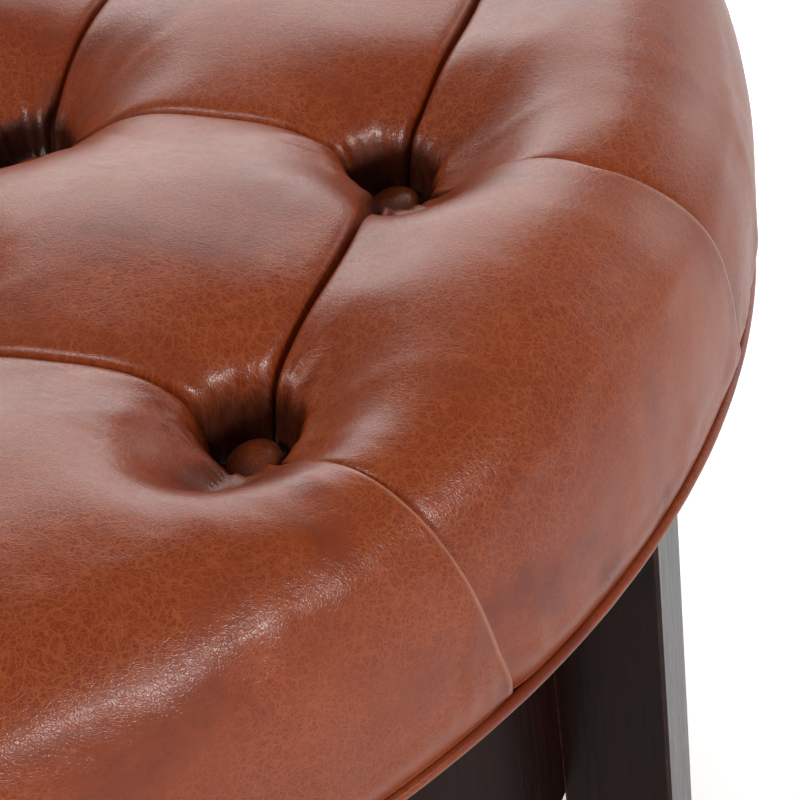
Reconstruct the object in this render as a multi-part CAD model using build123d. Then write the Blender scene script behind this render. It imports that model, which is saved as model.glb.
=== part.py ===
from build123d import *

import math
import os

os.makedirs("parts", exist_ok=True)

# A round storage ottoman: a tufted leather lid hinged on a wooden drum that
# stands on four square legs. Millimetres, +Z up, origin on the floor under the
# centre, front towards -Y, hinges at the back.

# Clearances and the overrun of every cut
overrun = 1.0
running_clearance = 0.05
knuckle_clearance = 0.3
hole_clearance = 0.5
screw_clearance = 0.02
soft_clearance = 0.3
foam_clearance = 0.2

# The whole seat
seat_height = 460.0
piping_outer_radius = 457.0

# Cushion, heights measured up from the middle of the piping
crown_height = 130.0
crown_rise = 3.0
shoulder_radius = 72.0
bulge_radius = 458.0
edge_draw_in = 7.0
edge_height = 4.2
side_swell = 2.4
cover_thickness = 1.6

# Tufts: buttons on a square grid, every crossing inside the pattern
tuft_spacing = 160.0
tuft_rows = 2
pattern_reach_share = 2.3
seat_of_button_height = 75.0
well_radius = 14.0
well_reach = 113.0
well_lip_height = 133.0
crease_height = 90.0
crease_reach = 80.0
crease_lip_height = 132.0
edge_pleat_width = 2.4
edge_pleat_depth = 6.0
edge_pleat_foot = 14.0
button_radius = 11.0
button_height = 6.0
button_rim = 2.0
core_radius = 8.5
core_thickness = 1.2
twine_radius = 1.0
washer_radius = 10.0
washer_thickness = 1.5

# Board, hem, piping and lining of the lid
board_inset = 5.0
board_thickness = 18.0
hem_thickness = 1.5
hem_width = 18.0
piping_radius = 3.0
piping_cord_radius = 1.7
tail_thickness = 1.2
lining_thickness = 1.0
lining_inset = 3.0
staple_count = 40
staple_inset = 10.0
staple_width = 10.0
staple_depth = 11.0
staple_wire = 0.8

# Drum
drum_clearance = 90.0
wall_outer_radius = 375.0
wall_thickness = 12.0
rim_thickness = 18.0
rim_width = 30.0
lid_gap = 3.0
cleat_height = 12.0
cleat_width = 18.0
cleat_gap = 80.0
floor_thickness = 12.0
well_lining_thickness = 1.5
lining_margin = 2.0
felt_radius = 8.0
felt_count = 8
corner_azimuths = {"front_right": -45, "back_right": 45, "back_left": 135, "front_left": 225}
panel_azimuths = {"front": -90, "right": 0, "back": 90, "left": 180}

# Legs and what bolts them on
leg_depth = 51.0
leg_width = 38.0
leg_bevel = 1.5
glide_radius = 12.0
glide_height = 4.0
glide_nail_radius = 1.2
glide_nail_length = 14.0
block_depth = 38.0
block_width = 76.0
bolt_radius = 4.0
bolt_head_radius = 7.0
bolt_head_height = 4.4
bolt_socket_radius = 2.5
bolt_socket_depth = 2.6
bolt_end_inset = 42.0
bolt_washer_radius = 9.0
bolt_washer_thickness = 1.6
insert_radius = 6.0
insert_length = 18.0
bolt_bite = 15.0

# Wood screws
screw_radius = 2.0
screw_head_radius = 4.0
screw_head_height = 2.2
screw_tip = 3.0
screw_sink = 0.3
rim_screw_length = 42.0
rim_screw_count = 12
floor_screw_length = 20.0
floor_screw_count = 8
cleat_screw_length = 26.0
cleat_screw_count = 12
block_screw_length = 22.0
hinge_screw_length = 16.0
lid_screw_length = 20.0

# Hinges and the block that carries them
hinge_block_wall = 10.0
hinge_block_width = 320.0
hinge_block_height = 76.0
hinge_block_bevel = 3.0
hinge_place = 90.0
hinge_width = 60.0
hinge_knuckles = 5
leaf_length = 30.0
leaf_thickness = 2.0
leaf_offset = 5.0
barrel_radius = 4.7
pin_radius = 2.2
pin_head_radius = 3.2
pin_head_height = 1.2
leaf_screw_spread = 20.0
leaf_screw_row = 12.0
leaf_screw_stagger = 8.0
block_screw_places = (50.0, 140.0)
block_screw_drops = (16.0, 60.0)
rear_bumper_place = 68.0
rear_bumper_radius = 7.0
rear_bumper_height = 5.2
rear_bumper_drop = 42.0
rear_bumper_taper = 1.0

# Heights worked out from the sizes above
piping_plane = seat_height - crown_height
tail_low = piping_plane - tail_thickness / 2
hem_low = piping_plane + tail_thickness / 2
board_low = hem_low + hem_thickness
board_top = board_low + board_thickness
underside = tail_low - lining_thickness
rim_top = underside - lid_gap
rim_low = rim_top - rim_thickness
floor_low = drum_clearance + cleat_height
floor_top = floor_low + floor_thickness
lining_top = floor_top + well_lining_thickness
button_seat = piping_plane + seat_of_button_height
wall_inner_radius = wall_outer_radius - wall_thickness
ring_radius = piping_outer_radius - piping_radius
shoulder_centre_height = crown_height - crown_rise - shoulder_radius
edge_radius = bulge_radius - edge_draw_in
edge_level = piping_plane + edge_height
board_radius = edge_radius - board_inset
lining_radius = edge_radius - lining_inset
staple_circle_radius = edge_radius - staple_inset
block_inner_radius = wall_inner_radius - block_depth
block_face = wall_outer_radius + hinge_block_wall
hinge_y = block_face + leaf_offset
hinge_z = underside - leaf_offset


def disc(radius, low, high):
    """Return a round plate between two heights."""
    plate = Cylinder(radius, high - low, align=(Align.CENTER, Align.CENTER, Align.MIN))
    return Pos(0, 0, low) * plate


def ring(inner, outer, low, high):
    """Return a flat ring between two heights."""
    return disc(outer, low, high) - disc(inner, low - overrun, high + overrun)


def slab(x_low, x_high, y_low, y_high, low, high):
    """Return a box between two corners."""
    size = (x_high - x_low, y_high - y_low, high - low)
    return Pos(x_low, y_low, low) * Box(*size, align=(Align.MIN, Align.MIN, Align.MIN))


def spin(azimuth, shape):
    """Turn a shape about the seat's upright axis."""
    return Rot(0, 0, azimuth) * shape


def outward(start, side, height, shape):
    """Lay a shape that points along +Z so that it points out from the axis along +X."""
    return Pos(start, side, height) * Rot(0, 90, 0) * shape


def rod(radius, length):
    """Return a round rod that stands on the origin."""
    return Cylinder(radius, length, align=(Align.CENTER, Align.CENTER, Align.MIN))


def around(count, start=0.0):
    """Return evenly spaced azimuths in degrees."""
    return [start + 360 * index / count for index in range(count)]


def screw(length, clearance=0.0, mouth=0.0):
    """Return a countersunk screw that points up, or with a clearance the hole for it."""
    head = screw_head_radius + clearance
    shank = screw_radius + clearance
    mouth_points = [(0, -mouth), (head, -mouth)] if mouth > 0 else [(0, 0)]
    points = mouth_points + [(head, 0), (shank, screw_head_height)]
    points += [(shank, length - screw_tip), (0, length + clearance)]
    return revolve(make_face(Plane.XZ * Polyline(*points, close=True)), Axis.Z)


def screw_hole(length):
    """Return the hole for a countersunk screw, open at its mouth."""
    return screw(length, screw_clearance, overrun)


def tuft_places():
    """Return the grid crossings that carry a button."""
    places = []
    for column in range(-tuft_rows, tuft_rows + 1):
        for row in range(-tuft_rows, tuft_rows + 1):
            if math.hypot(column, row) < pattern_reach_share:
                places.append((column, row))
    return places


def grid_turn(shape):
    """Turn a shape from the grid's own axes to the seat's, where the grid lines run to the legs."""
    return Rot(0, 0, 45) * shape


def border_section(inset, low):
    """Half section of the cushion blank, from its axis over the shoulder to the lower edge."""
    top = seat_height - inset
    centre_r = bulge_radius - shoulder_radius
    centre_z = piping_plane + shoulder_centre_height
    arc_radius = shoulder_radius - inset
    shoulder_top = (centre_r, centre_z + arc_radius)
    diagonal = arc_radius * math.sin(math.pi / 4)
    widest = (bulge_radius - inset, centre_z)
    edge = (edge_radius - inset, edge_level)
    crown_mid = (centre_r / 2, top - (top - shoulder_top[1]) / 4)
    side_mid = ((widest[0] + edge[0]) / 2 + side_swell, (widest[1] + edge[1]) / 2)
    lines = [
        ThreePointArc((0, top), crown_mid, shoulder_top),
        ThreePointArc(shoulder_top, (centre_r + diagonal, centre_z + diagonal), widest),
        ThreePointArc(widest, side_mid, edge),
        Polyline(edge, (edge[0], low), (0, low), (0, top)),
    ]
    return make_face(Curve() + lines)


def well_section(inset):
    """Half section of the funnel round a button, measured from the button's axis."""
    seat = button_seat - inset
    lip = piping_plane + well_lip_height
    run = well_reach - well_radius
    drop = lip - button_seat
    arc_radius = (run * run + drop * drop) / (2 * drop)
    centre_z = lip - arc_radius
    radius = arc_radius - inset
    foot_r = well_reach - math.sqrt(radius * radius - (seat - centre_z) ** 2)
    mid_angle = (math.pi / 2 + math.atan2(seat - centre_z, foot_r - well_reach)) / 2
    middle = (well_reach + radius * math.cos(mid_angle), centre_z + radius * math.sin(mid_angle))
    rim = (well_reach, centre_z + radius)
    ceiling = max(lip, seat_height) + overrun
    lines = [
        Line((0, seat), (foot_r, seat)),
        ThreePointArc((foot_r, seat), middle, rim),
        Polyline(rim, (well_reach, ceiling), (0, ceiling), (0, seat)),
    ]
    return make_face(Curve() + lines)


def crease_cutter(inset, half_length):
    """Rounded V-shaped trough between two rows of pillows, along X."""
    lip = piping_plane + crease_lip_height
    drop = crease_lip_height - crease_height
    arc_radius = (crease_reach * crease_reach + drop * drop) / (2 * drop)
    centre_z = lip - arc_radius
    radius = arc_radius - inset
    foot = centre_z + math.sqrt(radius * radius - crease_reach * crease_reach)
    mid_angle = (math.pi / 2 + math.atan2(foot - centre_z, crease_reach)) / 2
    swing = crease_reach - radius * math.cos(mid_angle)
    mid_z = centre_z + radius * math.sin(mid_angle)
    rim_z = centre_z + radius
    ceiling = max(lip, seat_height) + overrun
    right_rim = (crease_reach, rim_z)
    left_rim = (-crease_reach, rim_z)
    lines = [
        ThreePointArc((0, foot), (swing, mid_z), right_rim),
        Polyline(right_rim, (crease_reach, ceiling), (-crease_reach, ceiling), left_rim),
        ThreePointArc(left_rim, (-swing, mid_z), (0, foot)),
    ]
    face = Plane.YZ * make_face(Curve() + lines)
    return extrude(face, half_length, both=True)


def edge_pleat_cutter(inset, place):
    """Narrow slit from an outer button over the shoulder to the lower edge."""
    start = math.hypot(*place) * tuft_spacing
    azimuth = math.degrees(math.atan2(place[1], place[0]))
    depth = edge_pleat_depth + inset
    half_width = edge_pleat_width / 2 + inset
    foot = edge_level + edge_pleat_foot
    well = Pos(start, 0, 0) * well_section(depth)
    reach = bulge_radius + overrun - start
    window = Pos(start, foot, 0) * Rectangle(reach, seat_height - foot, align=(Align.MIN, Align.MIN))
    section = window - (border_section(depth, board_low) - well)
    return spin(azimuth, extrude(Plane.XZ * section, half_width, both=True))


def cushion_form(inset, low):
    """Return the tufted cushion as one solid, drawn in all over by an inset."""
    form = revolve(Plane.XZ * border_section(inset, low), Axis.Z)
    well = revolve(Plane.XZ * well_section(inset), Axis.Z)
    cutters = []
    for column, row in tuft_places():
        cutters.append(Pos(column * tuft_spacing, row * tuft_spacing, 0) * well)
        if math.hypot(column, row) >= tuft_rows:
            cutters.append(edge_pleat_cutter(inset, (column, row)))
    for row in range(-tuft_rows, tuft_rows + 1):
        columns = [column for column, other in tuft_places() if other == row]
        trough = Pos(0, row * tuft_spacing, 0) * crease_cutter(inset, max(columns) * tuft_spacing)
        cutters.append(trough)
        cutters.append(Rot(0, 0, 90) * trough)
    return grid_turn(form - cutters)


def at_tufts(shape):
    """Return a copy of a shape at every button."""
    copies = [Pos(column * tuft_spacing, row * tuft_spacing, 0) * shape for column, row in tuft_places()]
    return [grid_turn(copy) for copy in copies]


def staple(clearance=0.0):
    """Return a staple whose legs point up, or the holes that it makes."""
    half = staple_width / 2
    wire = staple_wire / 2 + clearance
    crown_low = underside - staple_wire
    tip = underside + staple_depth + clearance
    legs = []
    for side in (-1, 1):
        middle = side * (half - staple_wire / 2)
        legs.append(slab(-wire, wire, middle - wire, middle + wire, crown_low, tip))
    if clearance > 0:
        return legs
    crown = slab(-wire, wire, -half, half, crown_low, underside)
    return [crown + legs]


def staples(clearance=0.0):
    """Return the ring of staples under the lid, or their holes."""
    found = []
    for azimuth in around(staple_count, 180 / staple_count):
        for piece in staple(clearance):
            found.append(spin(azimuth, Pos(staple_circle_radius, 0, 0) * piece))
    return found


def leather_cover(form, core):
    """Tufted skin with its hem turned under the board."""
    hem_mouth = disc(edge_radius - hem_width, hem_low - overrun, board_low)
    holes = at_tufts(Pos(0, 0, board_low) * rod(twine_radius + hole_clearance, seat_height - board_low))
    return form - core - hem_mouth - holes - staples(screw_clearance)


def cushion_foam(pad):
    """Foam pad that also wraps the board's edge."""
    holes = at_tufts(Pos(0, 0, board_low) * rod(twine_radius + hole_clearance, seat_height - board_low))
    return pad - disc(board_radius, board_low - overrun, board_top) - holes


def lid_board():
    """Round board, bored for the twines, staples and hinge screws."""
    board = disc(board_radius, board_low, board_top)
    bore = disc(twine_radius + hole_clearance, board_low - overrun, board_top + overrun)
    bores = at_tufts(bore)
    return board - bores - staples(screw_clearance) - lid_hinge_screws(screw_hole)


def tuft_button():
    """Domed button with a recess for its metal back."""
    top = button_seat + button_height
    rim = button_seat + button_rim
    rise = top - rim
    dome_radius = (button_radius ** 2 + rise ** 2) / (2 * rise)
    half_turn = math.asin(button_radius / dome_radius) / 2
    dome_mid = (dome_radius * math.sin(half_turn), top - dome_radius * (1 - math.cos(half_turn)))
    foot = button_radius - button_rim
    lines = [
        Polyline((0, top), (0, button_seat), (foot, button_seat), (button_radius, rim)),
        ThreePointArc((button_radius, rim), dome_mid, (0, top)),
    ]
    cap = revolve(Plane.XZ * make_face(Curve() + lines), Axis.Z)
    return cap - disc(core_radius, button_seat - overrun, button_seat + core_thickness)


def button_core():
    """Metal back of a button."""
    return disc(core_radius, button_seat, button_seat + core_thickness)


def tuft_twine():
    """Twine from the washer up to the button's back."""
    return disc(twine_radius, board_low - washer_thickness, button_seat)


def twine_washer():
    """Washer that holds the twine under the board."""
    return ring(twine_radius, washer_radius, board_low - washer_thickness, board_low)


def edge_piping():
    """Welt tube round the lower edge, with the flat tail that is stapled under the board."""
    tube = Pos(ring_radius, piping_plane) * Circle(piping_radius)
    bore = Pos(ring_radius, piping_plane) * Circle(piping_cord_radius)
    tail_width = ring_radius - edge_radius + hem_width
    tail_place = Pos(ring_radius, piping_plane)
    tail = tail_place * Rectangle(tail_width, tail_thickness, align=(Align.MAX, Align.CENTER))
    body = revolve(Plane.XZ * (tube + tail - bore), Axis.Z)
    return body - staples(screw_clearance)


def piping_cord():
    """Cord inside the welt."""
    return Pos(0, 0, piping_plane) * Torus(ring_radius, piping_cord_radius)


def lid_lining():
    """Dust cover under the board."""
    cloth = disc(lining_radius, underside, tail_low)
    return cloth - staples(screw_clearance) - lid_hinge_screws(screw_hole)


def wall_panel(azimuth):
    """Bent plywood quarter of the drum, from the middle of one leg to the next."""
    band = ring(wall_inner_radius, wall_outer_radius, drum_clearance, rim_low)
    reach = wall_outer_radius + overrun
    half = slab(0, reach, 0, reach, drum_clearance - overrun, rim_low + overrun)
    quarter = spin(azimuth, band & spin(-45, half))
    holes = bolts(bolt_radius + hole_clearance)
    holes += rim_screws(screw_hole) + cleat_screws(screw_hole) + block_screws(screw_hole)
    return quarter - holes


def rim_ring():
    """Flat ring on top of the wall."""
    band = ring(wall_outer_radius - rim_width, wall_outer_radius, rim_low, rim_top)
    return band - rim_screws(screw_hole)


def leg(azimuth):
    """Square-cut leg, hollowed to the drum's curve, bored for its inserts and its glide."""
    half = leg_width / 2
    outer = wall_outer_radius + leg_depth
    inner = math.sqrt(wall_outer_radius ** 2 - half ** 2) - overrun
    post = slab(inner, outer, -half, half, glide_height, rim_top)
    post = chamfer(post.edges().filter_by(Axis.Z).group_by(Axis.X)[-1], leg_bevel)
    post -= disc(wall_outer_radius, glide_height - overrun, rim_top + overrun)
    middle = wall_outer_radius + leg_depth / 2
    post -= Pos(middle, 0, 0) * disc(glide_nail_radius, 0, glide_height + glide_nail_length)
    for height in bolt_heights():
        pocket = rod(insert_radius, insert_length + overrun)
        post -= outward(wall_outer_radius - overrun, 0, height, pocket)
    return spin(azimuth, post)


def leg_glide():
    """Nail-on glide under one foot."""
    middle = wall_outer_radius + leg_depth / 2
    foot = disc(glide_radius, 0, glide_height)
    foot = fillet(foot.edges().group_by(Axis.Z)[0], glide_height / 2)
    nail = disc(glide_nail_radius, glide_height, glide_height + glide_nail_length)
    return Pos(middle, 0, 0) * (foot + nail)


def corner_block():
    """Block behind one leg, rounded to the wall, that the leg's bolts clamp."""
    half = block_width / 2
    block = slab(block_inner_radius, wall_inner_radius, -half, half, floor_top, rim_low)
    block &= disc(wall_inner_radius, floor_top, rim_low)
    for height in bolt_heights():
        bore = rod(bolt_radius + hole_clearance, block_depth + 2 * overrun)
        block -= outward(block_inner_radius - overrun, 0, height, bore)
    return block


def bolt_heights():
    """Return the two heights of the bolts in each leg."""
    return (floor_top + bolt_end_inset, rim_low - bolt_end_inset)


def at_bolts(shape, start):
    """Return a copy of an upright shape at every leg bolt, laid to point outward."""
    copies = []
    for azimuth in corner_azimuths.values():
        for height in bolt_heights():
            copies.append(spin(azimuth, outward(start, 0, height, shape)))
    return copies


def bolts(radius):
    """Return plain rods where the leg bolts pass the wall."""
    start = block_inner_radius - overrun
    return at_bolts(rod(radius, wall_outer_radius + overrun - start), start)


def leg_bolt():
    """Socket head bolt that points up from the underside of its head."""
    shank = rod(bolt_radius, bolt_washer_thickness + block_depth + wall_thickness + bolt_bite)
    head = Pos(0, 0, -bolt_head_height) * rod(bolt_head_radius, bolt_head_height)
    head = fillet(head.edges().group_by(Axis.Z)[0], bolt_head_height / 2)
    socket = Pos(0, 0, -bolt_head_height) * extrude(RegularPolygon(bolt_socket_radius, 6), bolt_socket_depth)
    return head + shank - socket


def leg_washer():
    """Plain washer under a bolt head."""
    body = rod(bolt_washer_radius, bolt_washer_thickness)
    return body - rod(bolt_radius + running_clearance, bolt_washer_thickness)


def leg_insert(height):
    """Threaded insert in the leg, flush with the curved face that meets the wall."""
    start = wall_outer_radius - overrun
    body = outward(start, 0, height, rod(insert_radius, insert_length + overrun))
    bore = outward(start, 0, height, rod(bolt_radius + running_clearance, insert_length + overrun))
    return body - bore - disc(wall_outer_radius, height - insert_radius, height + insert_radius)


def corners(shape):
    """Return a copy of a shape at each leg."""
    return [spin(azimuth, shape) for azimuth in corner_azimuths.values()]


def drum_floor():
    """Round floor that rests on the cleats."""
    return disc(wall_inner_radius, floor_low, floor_top) - floor_screws(screw_hole)


def floor_cleats():
    """Curved cleats round the inside of the wall, with a gap behind each leg."""
    band = ring(wall_inner_radius - cleat_width, wall_inner_radius, drum_clearance, floor_low)
    half = cleat_gap / 2
    gap = slab(0, wall_outer_radius, -half, half, drum_clearance - overrun, floor_low + overrun)
    return band - corners(gap) - cleat_screws(screw_hole) - floor_screws(screw_hole)


def block_footprints(low, high):
    """Return the room that linings leave round the corner blocks."""
    half = block_width / 2 + lining_margin
    return corners(slab(block_inner_radius - lining_margin, wall_outer_radius, -half, half, low, high))


def floor_lining():
    """Cloth on the floor of the well."""
    radius = wall_inner_radius - 2 * (well_lining_thickness + soft_clearance)
    cloth = disc(radius, floor_top, lining_top)
    return cloth - block_footprints(floor_top - overrun, lining_top + overrun)


def wall_linings():
    """Cloth on the wall between the corner blocks."""
    outer = wall_inner_radius - soft_clearance
    band = ring(outer - well_lining_thickness, outer, floor_top, rim_low)
    return band - block_footprints(floor_top - overrun, rim_low + overrun)


def rim_bumper():
    """Felt pad on the rim, just short of the closed lid."""
    place = wall_outer_radius - rim_width / 2
    return Pos(place, 0, 0) * disc(felt_radius, rim_top, underside - soft_clearance)


def rim_screws(shape):
    """Screws down through the rim into the wall's top edge."""
    place = wall_outer_radius - wall_thickness / 2
    body = Pos(place, 0, rim_top) * Rot(180, 0, 0) * shape(rim_screw_length)
    return [spin(azimuth, body) for azimuth in around(rim_screw_count)]


def floor_screws(shape):
    """Screws down through the floor into the cleats."""
    place = wall_inner_radius - cleat_width / 2
    body = Pos(place, 0, floor_top) * Rot(180, 0, 0) * shape(floor_screw_length)
    return [spin(azimuth, body) for azimuth in around(floor_screw_count, 180 / floor_screw_count)]


def cleat_screws(shape):
    """Screws outward through the cleats into the wall."""
    start = wall_inner_radius - cleat_width + screw_sink
    body = outward(start, 0, drum_clearance + cleat_height / 2, shape(cleat_screw_length))
    return [spin(azimuth, body) for azimuth in around(cleat_screw_count)]


def block_screws(shape):
    """Screws outward through the back wall into the hinge block."""
    found = []
    for place in block_screw_places:
        for side in (-1, 1):
            for drop in block_screw_drops:
                turn = math.degrees(math.asin(side * place / wall_inner_radius))
                start = wall_inner_radius + screw_sink
                body = outward(start, 0, rim_low - drop, shape(block_screw_length))
                found.append(spin(90 - turn, body))
    return found


def hinge_block():
    """Straight-backed block on the round wall."""
    half = hinge_block_width / 2
    low = rim_top - hinge_block_height
    side = math.sqrt(wall_outer_radius ** 2 - half ** 2)
    block = slab(-half, half, side - hinge_block_wall, block_face, low, rim_top)
    block = chamfer(block.edges().filter_by(Axis.Z).group_by(Axis.Y)[-1], hinge_block_bevel)
    block -= disc(wall_outer_radius, low - overrun, rim_top + overrun)
    return block - block_screws(screw_hole) - wall_hinge_screws(screw_hole)


def leaf_screw_places():
    """Return each screw's place along a leaf and its distance from the hinge axis."""
    return [
        (-leaf_screw_spread, leaf_screw_row),
        (0, leaf_screw_row + leaf_screw_stagger),
        (leaf_screw_spread, leaf_screw_row),
    ]


def hinge_leaf(first_knuckle):
    """One leaf with its knuckles about the X axis, its back on the plane one offset above."""
    half = hinge_width / 2
    pitch = hinge_width / hinge_knuckles
    plate_start = barrel_radius + knuckle_clearance
    back = leaf_offset
    front = leaf_offset - leaf_thickness
    leaf = slab(-half, half, plate_start, leaf_length, front, back)
    for index in range(first_knuckle, hinge_knuckles, 2):
        low = -half + index * pitch + knuckle_clearance / 2
        high = low + pitch - knuckle_clearance
        barrel = Pos(low, 0, 0) * Rot(0, 90, 0) * rod(barrel_radius, high - low)
        leaf += slab(low, high, 0, plate_start, front, back) + barrel
    bore = rod(pin_radius + running_clearance, hinge_width + 2 * overrun)
    leaf -= Pos(-half - overrun, 0, 0) * Rot(0, 90, 0) * bore
    for side, distance in leaf_screw_places():
        leaf -= Pos(side, distance, front) * screw_hole(hinge_screw_length)
    return leaf


def at_hinges(shape):
    """Return a copy of a shape at both hinge axes."""
    return [Pos(side * hinge_place, hinge_y, hinge_z) * shape for side in (-1, 1)]


def hang(shape):
    """Turn a leaf drawn for the lid so that it lies on the block's back face."""
    return Rot(0, 0, 180) * Rot(-90, 0, 0) * shape


def hinge_pin():
    """Pin with a head at each end."""
    half = hinge_width / 2
    shaft = Pos(-half, 0, 0) * Rot(0, 90, 0) * rod(pin_radius, hinge_width)
    head = Rot(0, 90, 0) * rod(pin_head_radius, pin_head_height)
    return shaft + Pos(half, 0, 0) * head + Pos(-half - pin_head_height, 0, 0) * head


def leaf_screws(shape, length):
    """Screws of one lid leaf, pointing up into the board."""
    front = leaf_offset - leaf_thickness
    return [Pos(side, distance, front) * shape(length) for side, distance in leaf_screw_places()]


def lid_hinge_screws(shape):
    """Screws of both lid leaves."""
    found = []
    for body in leaf_screws(shape, lid_screw_length):
        found += at_hinges(body)
    return found


def wall_hinge_screws(shape):
    """Screws of both wall leaves."""
    found = []
    for body in leaf_screws(shape, hinge_screw_length):
        found += at_hinges(hang(body))
    return found


def rear_bumpers():
    """Rubber bumpers on the hinge block, where the open lid leans."""
    body = Cone(
        rear_bumper_radius,
        rear_bumper_radius - rear_bumper_taper,
        rear_bumper_height,
        align=(Align.CENTER, Align.CENTER, Align.MIN),
    )
    height = hinge_z - rear_bumper_drop
    places = [Pos(side * rear_bumper_place, block_face, height) for side in (-1, 1)]
    return [place * Rot(-90, 0, 0) * body for place in places]


def save(name, shape):
    """Write one node."""
    pieces = shape if isinstance(shape, list) else [shape]
    solids = [solid for piece in pieces for solid in piece.solids()]
    body = solids[0] if len(solids) == 1 else Compound(solids)
    export_step(body, f"parts/{name}.step")


def build():
    """Make every node and write it."""
    form = cushion_form(0.0, hem_low)
    core = cushion_form(cover_thickness, board_low)
    save("leather_cover", leather_cover(form, core))
    save("cushion_foam", cushion_foam(cushion_form(cover_thickness + foam_clearance, board_low)))
    save("lid_board", lid_board())
    save("tuft_buttons", at_tufts(tuft_button()))
    save("button_cores", at_tufts(button_core()))
    save("tuft_twines", at_tufts(tuft_twine()))
    save("twine_washers", at_tufts(twine_washer()))
    save("edge_piping", edge_piping())
    save("piping_cord", piping_cord())
    save("lid_lining", lid_lining())
    save("lining_staples", staples())
    save("hinge_lid_leaves", at_hinges(hinge_leaf(1)))
    save("lid_hinge_screws", lid_hinge_screws(screw))

    for name, azimuth in panel_azimuths.items():
        save(f"{name}_wall_panel", wall_panel(azimuth))
    for name, azimuth in corner_azimuths.items():
        save(f"{name}_leg", leg(azimuth))
    save("rim_ring", rim_ring())
    save("corner_blocks", corners(corner_block()))
    save("leg_bolts", at_bolts(leg_bolt(), block_inner_radius - bolt_washer_thickness))
    save("leg_washers", at_bolts(leg_washer(), block_inner_radius - bolt_washer_thickness))
    save("leg_inserts", [insert for height in bolt_heights() for insert in corners(leg_insert(height))])
    save("leg_glides", corners(leg_glide()))
    save("drum_floor", drum_floor())
    save("floor_cleats", floor_cleats())
    save("floor_lining", floor_lining())
    save("wall_linings", wall_linings())
    save("rim_bumpers", [spin(azimuth, rim_bumper()) for azimuth in around(felt_count, 180 / felt_count)])
    save("rim_screws", rim_screws(screw))
    save("floor_screws", floor_screws(screw))
    save("cleat_screws", cleat_screws(screw))
    save("block_screws", block_screws(screw))
    save("hinge_block", hinge_block())
    save("hinge_wall_leaves", at_hinges(hang(hinge_leaf(0))))
    save("wall_hinge_screws", wall_hinge_screws(screw))
    save("hinge_pins", at_hinges(hinge_pin()))
    save("rear_bumpers", rear_bumpers())


build()
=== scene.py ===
import math

import bpy
import numpy as np
from mathutils import Matrix, Vector


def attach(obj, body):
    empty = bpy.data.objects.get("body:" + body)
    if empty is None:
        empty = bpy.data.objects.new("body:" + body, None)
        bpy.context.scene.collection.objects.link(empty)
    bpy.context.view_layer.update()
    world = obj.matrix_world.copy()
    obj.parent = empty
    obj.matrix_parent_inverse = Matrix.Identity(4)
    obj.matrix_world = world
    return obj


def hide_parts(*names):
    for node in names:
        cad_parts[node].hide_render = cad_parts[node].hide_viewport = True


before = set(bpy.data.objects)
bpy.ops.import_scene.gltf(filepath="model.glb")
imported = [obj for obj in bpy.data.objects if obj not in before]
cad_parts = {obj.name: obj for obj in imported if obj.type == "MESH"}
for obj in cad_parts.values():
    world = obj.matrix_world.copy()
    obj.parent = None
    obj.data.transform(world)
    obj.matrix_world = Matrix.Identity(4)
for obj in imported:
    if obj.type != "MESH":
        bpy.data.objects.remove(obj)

bl_info = {
    "name": "Tufted Storage Ottoman",
    "version": (1, 0, 0),
    "blender": (4, 5, 0),
    "location": "3D View > Sidebar > Ottoman",
    "description": "Dresses the packed ottoman in tufted leather, wood and metal, and lights it",
    "category": "Object",
}


# Settings

def srgb(red, green, blue):
    """Linear colour of an 8-bit display colour."""
    parts = []
    for part in (red, green, blue):
        part = part / 255
        parts.append(part / 12.92 if part <= 0.04045 else ((part + 0.055) / 1.055) ** 2.4)
    return (*parts, 1.0)


def colour(name, description, *display):
    """A colour that the user can change, with its 8-bit display colour as the default."""
    return bpy.props.FloatVectorProperty(
        name=name, description=description, default=srgb(*display), subtype="COLOR", size=4,
        min=0.0, max=1.0)


class OttomanCushionSettings(bpy.types.PropertyGroup):
    """Shape of the tufted cushion."""

    tuft_spacing: bpy.props.FloatProperty(
        name="Tuft spacing", description="Distance between neighbouring buttons", default=0.160,
        unit="LENGTH")
    grid_turn: bpy.props.FloatProperty(
        name="Grid turn", description="Turn of the button grid about the seat's axis",
        default=math.radians(-45), subtype="ANGLE")
    seat_height: bpy.props.FloatProperty(
        name="Seat height", description="Height of the crown above the floor", default=0.4595,
        unit="LENGTH")
    piping_height: bpy.props.FloatProperty(
        name="Piping height", description="Height of the middle of the piping", default=0.330,
        unit="LENGTH")
    crown_radius: bpy.props.FloatProperty(
        name="Crown radius", description="Radius at which the crown turns into the shoulder",
        default=0.366, unit="LENGTH")
    bulge_radius: bpy.props.FloatProperty(
        name="Bulge radius", description="Largest radius of the border", default=0.4578,
        unit="LENGTH")
    button_seat: bpy.props.FloatProperty(
        name="Button seat", description="Height of the leather under each button",
        default=0.4048, unit="LENGTH")
    crease_depth: bpy.props.FloatProperty(
        name="Crease depth", description="Depth of the crease midway between two buttons",
        default=0.0151, unit="LENGTH")
    slit_depth: bpy.props.FloatProperty(
        name="Slit depth", description="Depth of the narrow slit between two pillows",
        default=0.010, unit="LENGTH")
    seed: bpy.props.IntProperty(
        name="Seed", description="Seed of every irregularity", default=7)


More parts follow.
